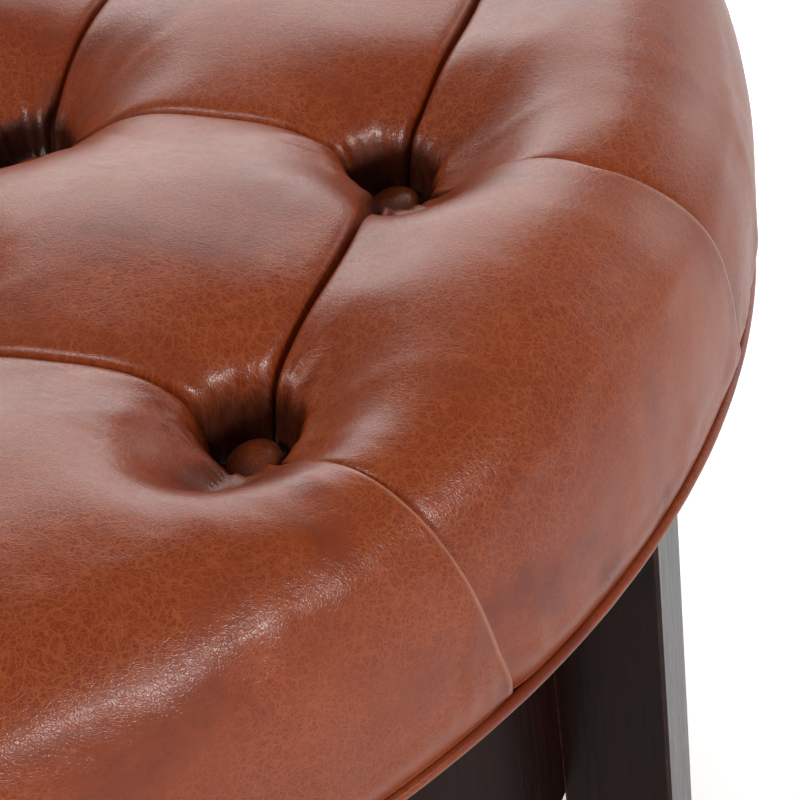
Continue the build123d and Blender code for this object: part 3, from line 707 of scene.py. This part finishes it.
def plastic_material(name, dark, light, rough=0.5):
    """Moulded plastic or rubber."""
    n = Nodes(bpy.data.materials.new(name))
    speck = n.noise(n.coords(), 900.0, 3.0, 0.6)
    cloud = n.noise(n.coords(), 90.0, 3.0, 0.5)
    return n.dress({
        "Base Color": n.mix(n.remap(cloud, 0.3, 0.7), dark, light),
        "Roughness": n.remap(speck, 0.3, 0.7, rough - 0.08, rough + 0.08),
        "Normal": n.bump(speck, 0.3, 0.0002)})


# Stage

CAMERA_PLACE = (-0.078436, -0.956040, 0.937205)
CAMERA_RIGHT, CAMERA_DOWN = (0.884595, -0.453142, -0.110248), (-0.362136, -0.518476, -0.774623)
CAMERA_AHEAD = (0.293853, 0.725152, -0.622740)
LAMP_TARGET = (0, 0, 0.42)
RIGHT_FILL_SHARE = 0.15  # power of the lamp on the right, as a share of the one behind
FLOOR_HALF = 30.0
FLOOR_SEEN, FLOOR_MIRRORED = 0.45, 0.12  # glow of the floor for the camera and in reflections
WHITE = (1.0, 1.0, 1.0, 1.0)
SKY_RISE = (-0.45, -0.80, 1.0)  # direction in which the world darkens
SKY_RANGE = (-0.70, 0.10)


# Operators

class OTTOMAN_OT_cushion(bpy.types.Operator):
    """Make the tufted leather cover and the foam under it"""

    bl_idname = "ottoman.cushion"
    bl_label = "Build cushion"

    def execute(self, context):
        settings = context.scene.ottoman_cushion
        cushion = Cushion(settings)
        self.leather(cushion, 64)
        self.foam(cushion)
        return {"FINISHED"}

    def leather(self, cushion, fine):
        """The tufted skin, from the flat pattern to the hem under the board."""
        patches = flat_patches(cushion, fine)
        depths = [cushion.depth(x, y) for x, y in patches]
        moves = self.folds(cushion, patches, depths)
        points, pit_shades, edges = [], [], []
        for (x, y), depth, move in zip(patches, depths, moves):
            over, edge = self.overlap(cushion, x, y)
            points.append(cushion.place(x, y, cushion.relief(x, y) + over - depth) + move)
            pit_shades.append(self.shade(cushion, x, y, depth).ravel())
            edges.append(edge.ravel())
        verts, quads = patch_mesh(points)
        flat = flat_points(patches)
        first, point = weld(flat)
        verts, flat = verts[first], flat[first]
        deep, edge = np.concatenate(pit_shades)[first], np.concatenate(edges)[first]
        rim = self.rim_loop(flat, cushion)
        verts, faces, flat, deep, edge = self.hem(verts, point[quads], flat, deep, edge, rim)
        obj = new_mesh("leather_cushion", verts, faces)
        add_attribute(obj, "flat", np.concatenate([flat, np.zeros((len(flat), 1))], 1))
        # the deep attribute carries the painted shade of the pits
        add_attribute(obj, "deep", deep)
        # the edge attribute carries the painted highlight of the pleat folds
        add_attribute(obj, "edge", edge)
        obj.data.materials.append(leather_material("cushion_leather", "flat"))
        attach(obj, "lid")
        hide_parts("leather_cover")

    def folds(self, cushion, patches, depths):
        """Cloth simulation of the skin at half the resolution: how far each point moves into folds."""
        coarse = [(x[::2, ::2], y[::2, ::2]) for x, y in patches]
        points = [cushion.place(x, y, -depth[::2, ::2]) for (x, y), depth in zip(coarse, depths)]
        verts, quads = patch_mesh(points)
        flat = flat_points(coarse)
        grip = np.concatenate([depth[::2, ::2].ravel() for depth in depths])
        first, point = weld(flat)
        start, quads = verts[first], point[quads]
        obj = new_mesh("cloth_pass", start, quads)
        low = cushion.reach - np.hypot(*flat[first].T)
        deep = smooth((grip[first] - HELD_DEPTH) / HELD_DEPTH_SPAN)
        hold = np.maximum(deep, smooth((HELD_EDGE - low) / HELD_EDGE_SPAN))
        group = obj.vertex_groups.new(name="hold")
        for index, weight in enumerate(hold):
            group.add([index], float(weight), "REPLACE")
        cloth = obj.modifiers.new("cloth", "CLOTH")
        cloth.settings.vertex_group_mass = "hold"
        cloth.settings.effector_weights.gravity = 0.0
        for key, value in SKIN.items():
            setattr(cloth.settings, key, value)
        scene = bpy.context.scene
        scene.frame_start, scene.frame_end = 1, CLOTH_FRAMES
        cloth.point_cache.frame_start, cloth.point_cache.frame_end = 1, CLOTH_FRAMES
        for number in range(1, CLOTH_FRAMES + 1):
            scene.frame_set(number)
        settled = obj.evaluated_get(bpy.context.evaluated_depsgraph_get()).to_mesh()
        end = np.empty(len(start) * 3)
        settled.vertices.foreach_get("co", end)
        move = end.reshape(-1, 3) - start
        scene.frame_set(1)
        bpy.data.objects.remove(obj, do_unlink=True)
        move = self.fold_part(move, quads)
        size = np.linalg.norm(move, axis=1, keepdims=True)
        move *= FOLD_SHARE * np.minimum(1, FOLD_LIMIT / np.maximum(size, 1e-9))
        moves, at = [], 0
        for x, y in coarse:
            grid = move[point[at:at + x.size]].reshape(*x.shape, 3)
            moves.append(self.refine(self.refine(grid).transpose(1, 0, 2)).transpose(1, 0, 2))
            at += x.size
        return moves

    @staticmethod
    def shade(cushion, x, y, depth):
        """How much shade is painted on the leather: 1 on the steep walls of the pits and under the buttons.
        """
        slope_x = cushion.depth(x + DARK_STEP, y) - cushion.depth(x - DARK_STEP, y)
        slope_y = cushion.depth(x, y + DARK_STEP) - cushion.depth(x, y - DARK_STEP)
        slope = np.hypot(slope_x, slope_y) / (2 * DARK_STEP)
        steep = smooth((slope - DARK_SLOPE) / DARK_SLOPE_SPAN)
        wall = steep * smooth((depth - DARK_WALL) / DARK_WALL_SPAN)
        floor = smooth((depth - DARK_FLOOR) / DARK_FLOOR_SPAN)
        return np.maximum(wall, floor)

    @staticmethod
    def fold_part(move, quads):
        """The folds alone: what is left once the even swelling is taken out."""
        a, b = quads.T.ravel(), np.roll(quads, -1, 1).T.ravel()  # both ends of every edge
        count = np.bincount(a, minlength=len(move)) + np.bincount(b, minlength=len(move))
        even = move.copy()
        for step in range(EVENING_STEPS):
            total = np.stack([
                np.bincount(a, even[b, k], len(move)) + np.bincount(b, even[a, k], len(move))
                for k in range(3)], 1)
            even = total / count[:, None]
        return (move - even) + SWELLING_SHARE * even

    @staticmethod
    def refine(grid):
        """Insert a smooth point between each two rows."""
        padded = np.concatenate([grid[:1], grid, grid[-1:]])
        middle = (9 * (grid[:-1] + grid[1:]) - padded[:-3] - padded[3:]) / 16
        out = np.empty((2 * len(grid) - 1, *grid.shape[1:]))
        out[::2], out[1::2] = grid, middle
        return out

    @staticmethod
    def rim_loop(flat, cushion):
        """Vertices on the piping, in order of azimuth."""
        rim = np.nonzero(np.hypot(*flat.T) > cushion.reach - 1e-6)[0]
        return rim[np.argsort(np.arctan2(flat[rim, 1], flat[rim, 0]))]

    @staticmethod
    def hem(verts, quads, flat, deep, edge, rim):
        """Turn the lower edge under the board and close the form there."""
        azimuth = np.arctan2(verts[rim, 1], verts[rim, 0])
        faces, last = [quads], rim
        for r, z in HEM:
            ring = len(verts) + np.arange(len(rim))
            level = np.stack([r * np.cos(azimuth), r * np.sin(azimuth), np.full(len(rim), z)], 1)
            verts = np.concatenate([verts, level])
            faces.append(np.stack([last, ring, np.roll(ring, -1), np.roll(last, -1)], 1))
            last = ring
        extra = np.zeros(len(HEM) * len(rim))
        flat = np.concatenate([flat, np.tile(flat[rim] * 1.02, (len(HEM), 1))])
        deep, edge = np.concatenate([deep, extra]), np.concatenate([edge, extra])
        return verts, [*np.concatenate(faces).tolist(), last[::-1].tolist()], flat, deep, edge

    @staticmethod
    def overlap(cushion, x, y):
        """Lift of the pillow on the near side of each edge pleat, and the painted highlight along its edge.
        """
        s = np.hypot(x, y)
        phi = np.arctan2(y, x)
        r = cushion.base(s)[0]
        lift, edge = np.zeros_like(x), np.zeros_like(x)
        for pleat in cushion.pleats:
            start, share = cushion.pleat_run(pleat, s)
            off = phi - cushion.pleat_azimuth(pleat, s)
            off = ((off + math.pi) % (2 * math.pi) - math.pi) * r
            live = (s > start) & (np.abs(off) < 0.05)
            strength = smooth(share / 0.25) * smooth((1.02 - share) / 0.05)
            near = np.exp(-np.abs(off) / OVERLAP_WIDTH)
            lift += np.where(live & (off < -1e-6), OVERLAP_UP * strength * near, 0)
            lift -= np.where(live & (off > 1e-6), OVERLAP_DOWN * strength * near, 0)
            # painted highlight: a thin light line along the fold
            rim = np.exp(-((off + HIGHLIGHT_EDGE_PLACE) / HIGHLIGHT_EDGE_WIDTH) ** 2)
            edge += np.where(live, rim * strength, 0)
        return lift, np.clip(edge, 0, 1)

    def foam(self, cushion):
        """The pad, which follows the leather from below and rests on the board."""
        patches = flat_patches(cushion, 16)
        points = []
        for x, y in patches:
            depth = cushion.depth(x, y)
            gap = FOAM_GAP + FOAM_PIT_GAP * smooth((depth - 0.018) / 0.02)
            points.append(cushion.place(x, y, -depth - gap))
        verts, quads = patch_mesh(points)
        first, point = weld(flat_points(patches))
        verts = verts[first]
        verts[:, 2] = np.maximum(verts[:, 2], BOARD_TOP)
        obj = new_mesh("cushion_foam_pad", verts, point[quads])
        obj.data.materials.append(cloth_material("foam_pad", srgb(206, 190, 140), srgb(232, 220, 176)))
        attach(obj, "lid")
        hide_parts("cushion_foam")


class OTTOMAN_OT_buttons(bpy.types.Operator):
    """Make the covered buttons"""

    bl_idname = "ottoman.buttons"
    bl_label = "Build buttons"

    def execute(self, context):
        settings = context.scene.ottoman_cushion
        rng = np.random.default_rng(settings.seed + 1)
        rings, turns, crimps = 14, 56, 17
        dome_share = 0.72  # share of the rings on the dome; the rest are on the skirt
        wide, skirt, dome, lip, tuck = 0.0104, 0.0021, 0.0040, 0.0007, 0.0016
        verts, faces = [], []
        for i, j in tuft_places():
            start = len(verts)
            tilt = rng.normal(0, 0.05, 2)
            turn = settings.grid_turn
            cx = (i * math.cos(turn) - j * math.sin(turn)) * settings.tuft_spacing
            cy = (i * math.sin(turn) + j * math.cos(turn)) * settings.tuft_spacing
            lobes = rng.uniform(0, 2 * math.pi)
            for ring in range(rings + 1):
                t = ring / rings
                if t < dome_share:
                    a = t / dome_share
                    radius = wide * math.sin(a * math.pi / 2)
                    height = skirt + dome * math.cos(a * math.pi / 2) ** 0.9
                else:
                    a = (t - dome_share) / (1 - dome_share)
                    radius = wide + lip * math.sin(a * math.pi) - tuck * a ** 2
                    height = skirt * (1 - a)
                for k in range(turns):
                    theta = 2 * math.pi * k / turns
                    crimp = 1 + 0.016 * math.sin(crimps * theta + lobes) * smooth((t - 0.5) / 0.3)
                    wobble = 1 + 0.02 * math.sin(2 * theta + lobes)
                    x = radius * crimp * wobble * math.cos(theta)
                    y = radius * crimp * wobble * math.sin(theta)
                    z = height + tilt[0] * x + tilt[1] * y
                    verts.append((cx + x, cy + y, settings.button_seat + 0.0002 + z))
            for ring in range(rings):
                for k in range(turns):
                    a = start + ring * turns + k
                    b = start + ring * turns + (k + 1) % turns
                    faces.append((a, a + turns, b + turns, b))
            faces.append([start + rings * turns + k for k in range(turns)])
        obj = new_mesh("covered_buttons", verts, faces)
        obj.data.materials.append(leather_material("button_leather", None, 0.6))
        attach(obj, "lid")
        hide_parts("tuft_buttons")
        return {"FINISHED"}


class OTTOMAN_OT_piping(bpy.types.Operator):
    """Make the leather piping round the lower edge"""

    bl_idname = "ottoman.piping"
    bl_label = "Build piping"

    def execute(self, context):
        settings = context.scene.ottoman_cushion
        turns, steps = 900, 20
        radius, ring_radius, puckers = 0.00270, 0.4540, 640
        theta = np.linspace(0, 2 * math.pi, turns, endpoint=False)
        rows = []
        for k in range(steps):
            a = math.radians(196) - 2 * math.pi * k / steps * (352 / 360)
            swell = 1 + 0.03 * noise(np.cos(theta) * 40, np.sin(theta) * 40, k * 0.4, seed=41)
            pucker = 0.00012 * np.sin(theta * puckers) * (0.5 + 0.5 * math.cos(a - math.pi))
            rad = radius * swell + pucker
            r = ring_radius + rad * math.cos(a)
            z = settings.piping_height + rad * math.sin(a)
            rows.append(np.stack([r * np.cos(theta), r * np.sin(theta), z], 1))
        for r, z in PIPING_TAIL:
            rows.append(np.stack([r * np.cos(theta), r * np.sin(theta), np.full_like(theta, z)], 1))
        verts = np.concatenate(rows)
        count = len(rows)
        faces = []
        for k in range(count):
            for t in range(turns):
                a, b = k * turns + t, k * turns + (t + 1) % turns
                c, d = (k + 1) % count * turns + (t + 1) % turns, (k + 1) % count * turns + t
                faces.append((a, b, c, d))
        obj = new_mesh("leather_piping", verts, faces)
        obj.data.materials.append(leather_material("piping_leather", None, 0.7))
        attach(obj, "lid")
        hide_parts("edge_piping")
        return {"FINISHED"}


class OTTOMAN_OT_finishes(bpy.types.Operator):
    """Give every carried-over piece its material"""

    bl_idname = "ottoman.finishes"
    bl_label = "Finish the frame"

    def execute(self, context):
        tone = context.scene.ottoman_finish
        espresso = dict(dark=tone.wood_dark, light=tone.wood_light, worn=tone.wood_worn)
        drum = wood_material("drum_espresso", gloss=0.40, grain=(1, 1, 0.06), **espresso)
        legs = wood_material("leg_espresso", gloss=0.30, grain=(1, 1, 0.05), lacquer=1.0, **espresso)
        block = wood_material(
            "block_pine", srgb(150, 108, 66), srgb(198, 158, 108), srgb(220, 190, 150), 0.6)
        ply = wood_material(
            "plywood", srgb(176, 140, 96), srgb(210, 178, 132), srgb(226, 204, 170), 0.62, (1, 0.06, 1))
        zinc = metal_material("zinc", (0.56, 0.57, 0.58, 1), 0.34)
        steel = metal_material("dark_steel", (0.30, 0.30, 0.31, 1), 0.38)
        brass = metal_material("brass", (0.72, 0.52, 0.24, 1), 0.30)
        lining = cloth_material("well_cloth", srgb(30, 26, 24), srgb(62, 56, 52))
        dust = cloth_material("dust_cover", srgb(18, 18, 18), srgb(40, 40, 40), 1000.0)
        felt = cloth_material("felt", srgb(24, 22, 22), srgb(54, 50, 48), 500.0, 0.0006, 0.95)
        cord = cloth_material("cotton_cord", srgb(196, 184, 160), srgb(226, 216, 196), 900.0)
        twine = cloth_material("waxed_twine", srgb(168, 150, 112), srgb(214, 200, 164), 1200.0)
        rubber = plastic_material("rubber", srgb(20, 20, 20), srgb(34, 34, 34), 0.62)
        nylon = plastic_material("nylon", srgb(206, 202, 194), srgb(228, 224, 216), 0.42)
        for material, names in (
            (drum, "front_wall_panel right_wall_panel back_wall_panel left_wall_panel rim_ring hinge_block"),
            (legs, "front_right_leg back_right_leg back_left_leg front_left_leg"),
            (block, "corner_blocks floor_cleats"),
            (ply, "drum_floor lid_board"),
            (steel, "leg_bolts hinge_wall_leaves hinge_lid_leaves"),
            (zinc, "leg_washers rim_screws floor_screws cleat_screws block_screws wall_hinge_screws"),
            (zinc, "lid_hinge_screws hinge_pins lining_staples button_cores"),
            (brass, "leg_inserts"),
            (nylon, "leg_glides twine_washers"),
            (lining, "floor_lining wall_linings"),
            (dust, "lid_lining"),
            (felt, "rim_bumpers"),
            (rubber, "rear_bumpers"),
            (cord, "piping_cord"),
            (twine, "tuft_twines"),
        ):
            for name in names.split():
                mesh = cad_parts[name].data
                mesh.materials.clear()
                mesh.materials.append(material)
        return {"FINISHED"}


class OTTOMAN_OT_stage(bpy.types.Operator):
    """Set up the floor, the lights, the camera and the render settings"""

    bl_idname = "ottoman.stage"
    bl_label = "Set the stage"

    def execute(self, context):
        settings = context.scene.ottoman_stage
        self.camera(context.scene, settings)
        self.floor()
        self.lights(settings)
        self.world(context.scene, settings)
        context.scene.view_settings.view_transform = "Standard"
        return {"FINISHED"}

    def camera(self, scene, settings):
        data = bpy.data.cameras.new("camera")
        data.lens = settings.lens
        data.sensor_width = 36.0
        data.clip_start = 0.01
        obj = bpy.data.objects.new("camera", data)
        scene.collection.objects.link(obj)
        turn = Matrix((Vector(CAMERA_RIGHT), -Vector(CAMERA_DOWN), -Vector(CAMERA_AHEAD))).transposed()
        obj.matrix_world = Matrix.Translation(CAMERA_PLACE) @ turn.to_4x4()
        scene.camera = obj

    def floor(self):
        corners = [(x * FLOOR_HALF, y * FLOOR_HALF, 0) for x, y in ((-1, -1), (1, -1), (1, 1), (-1, 1))]
        obj = new_mesh("floor", corners, [(0, 1, 2, 3)], False)
        n = Nodes(bpy.data.materials.new("pale_floor"))
        cloud = n.noise(n.coords(), 3.0, 3.0, 0.5)
        path = n.node("ShaderNodeLightPath")
        mirrored = n.math("MAXIMUM", path.outputs["Is Glossy Ray"], path.outputs["Is Transmission Ray"])
        seen = n.math("MULTIPLY", path.outputs["Is Camera Ray"], FLOOR_SEEN)
        obj.data.materials.append(n.dress({
            "Base Color": n.mix(n.remap(cloud, 0.3, 0.7), (0.90, 0.90, 0.90, 1), (0.93, 0.93, 0.93, 1)),
            "Roughness": 0.7, "Specular IOR Level": 0.2, "Emission Color": WHITE,
            "Emission Strength": n.math("ADD", seen, n.math("MULTIPLY", mirrored, FLOOR_MIRRORED))}))

    def lights(self, settings):
        for name, power, width, height, place in (
            ("front strip", settings.strip_power, 1.3, 0.11, (0.69, -2.40, 1.21)),
            ("left key", settings.key_power, 1.0, 0.8, (-2.0, -0.7, 2.1)),
            ("right fill", settings.fill_power * RIGHT_FILL_SHARE, 1.2, 1.2, (2.60, 0.30, 0.80)),
            ("back fill", settings.fill_power, 2.4, 1.8, (1.00, 1.90, 1.70)),
        ):
            data = bpy.data.lights.new(name, "AREA")
            data.shape = "RECTANGLE"
            data.size = width
            data.size_y = height
            data.energy = power
            obj = bpy.data.objects.new(name, data)
            bpy.context.scene.collection.objects.link(obj)
            obj.location = place
            obj.visible_camera = False
            obj.rotation_euler = (Vector(LAMP_TARGET) - Vector(place)).to_track_quat("-Z", "Y").to_euler()

    def world(self, scene, settings):
        scene.world = bpy.data.worlds.new("white")
        n = Nodes(scene.world, "ShaderNodeOutputWorld", "ShaderNodeBackground")
        place = n.node("ShaderNodeTexCoord").outputs["Generated"]
        rise = n.node("ShaderNodeVectorMath", {0: place, 1: SKY_RISE}, operation="DOT_PRODUCT")
        strength = n.remap(rise.outputs["Value"], *SKY_RANGE, 1.0, settings.world_level)
        n.dress({"Color": WHITE, "Strength": strength})


class OTTOMAN_PT_panel(bpy.types.Panel):
    """Buttons that build the ottoman"""

    bl_idname = "OTTOMAN_PT_panel"
    bl_label = "Ottoman"
    bl_space_type = "VIEW_3D"
    bl_region_type = "UI"
    bl_category = "Ottoman"

    def draw(self, context):
        for pointer, group in SETTINGS.items():
            for name in group.__annotations__:
                self.layout.prop(getattr(context.scene, pointer), name)
        for step in STEPS:
            self.layout.operator(step.bl_idname)


STEPS = (OTTOMAN_OT_cushion, OTTOMAN_OT_buttons, OTTOMAN_OT_piping, OTTOMAN_OT_finishes, OTTOMAN_OT_stage)
SETTINGS = {
    "ottoman_cushion": OttomanCushionSettings, "ottoman_finish": OttomanFinishSettings,
    "ottoman_stage": OttomanStageSettings}
CLASSES = (*SETTINGS.values(), *STEPS, OTTOMAN_PT_panel)


def register():
    for item in CLASSES:
        bpy.utils.register_class(item)
    for pointer, group in SETTINGS.items():
        setattr(bpy.types.Scene, pointer, bpy.props.PointerProperty(type=group))


def unregister():
    for pointer in SETTINGS:
        delattr(bpy.types.Scene, pointer)
    for item in reversed(CLASSES):
        bpy.utils.unregister_class(item)


def main():
    """Build everything."""
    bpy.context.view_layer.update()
    register()
    bpy.ops.ottoman.cushion()
    bpy.ops.ottoman.buttons()
    bpy.ops.ottoman.piping()
    bpy.ops.ottoman.finishes()
    bpy.ops.ottoman.stage()


if __name__ == "__main__":
    main()
